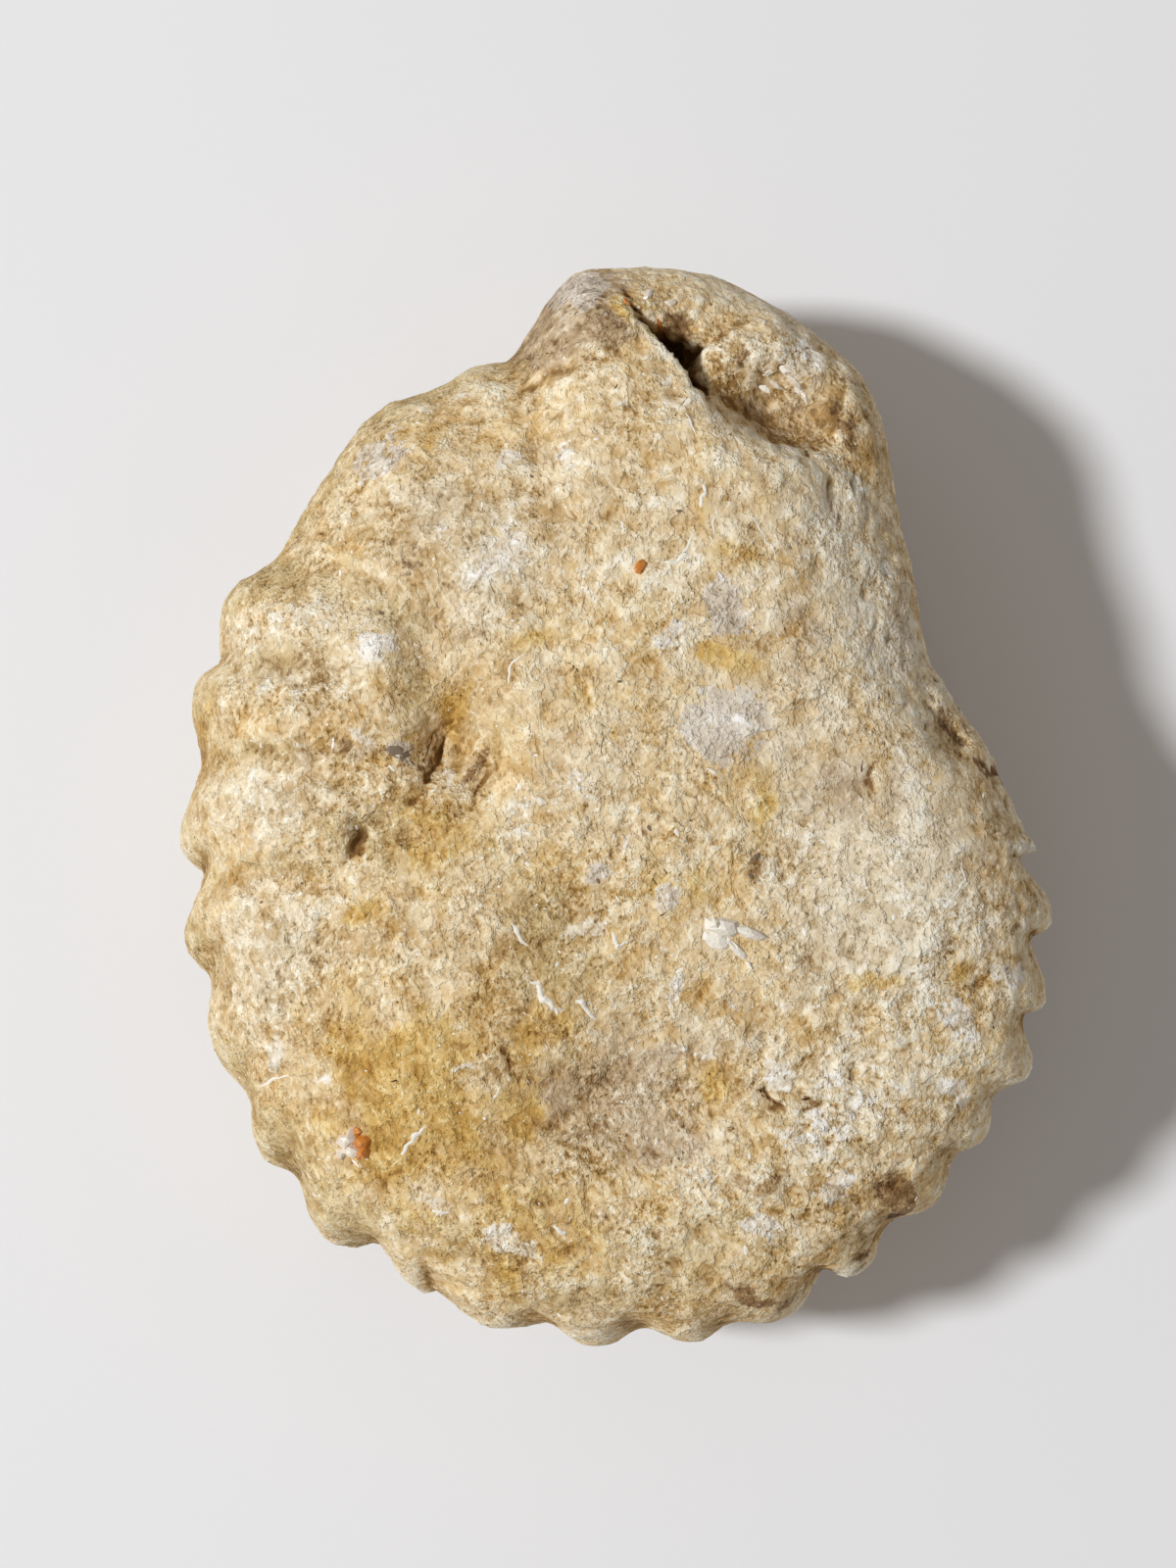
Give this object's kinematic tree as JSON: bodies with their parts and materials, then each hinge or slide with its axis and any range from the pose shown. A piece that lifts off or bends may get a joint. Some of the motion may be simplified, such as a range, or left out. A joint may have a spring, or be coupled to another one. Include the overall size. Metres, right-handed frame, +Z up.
{
  "type": "ammonite fossil",
  "caption": "Weathered limestone cast of a ribbed, coiled shell: a thick oval stone with a lobed rim, a broad smooth face and a narrow end with a crevice, lying on its side.",
  "frame": {"origin": "middle of the stone's footprint, on the ground it rests on", "axes": "+Z up through the broad face, +Y towards the narrow end with the crevice, +X across the stone"},
  "size_m": [0.132, 0.165, 0.062],
  "materials": {
    "limestone": "matt weathered limestone, cream to ochre, with grey patches and white shell scraps"
  },
  "bodies": {
    "root": {"ammonite_fossil": "limestone"}
  },
  "joints": []
}
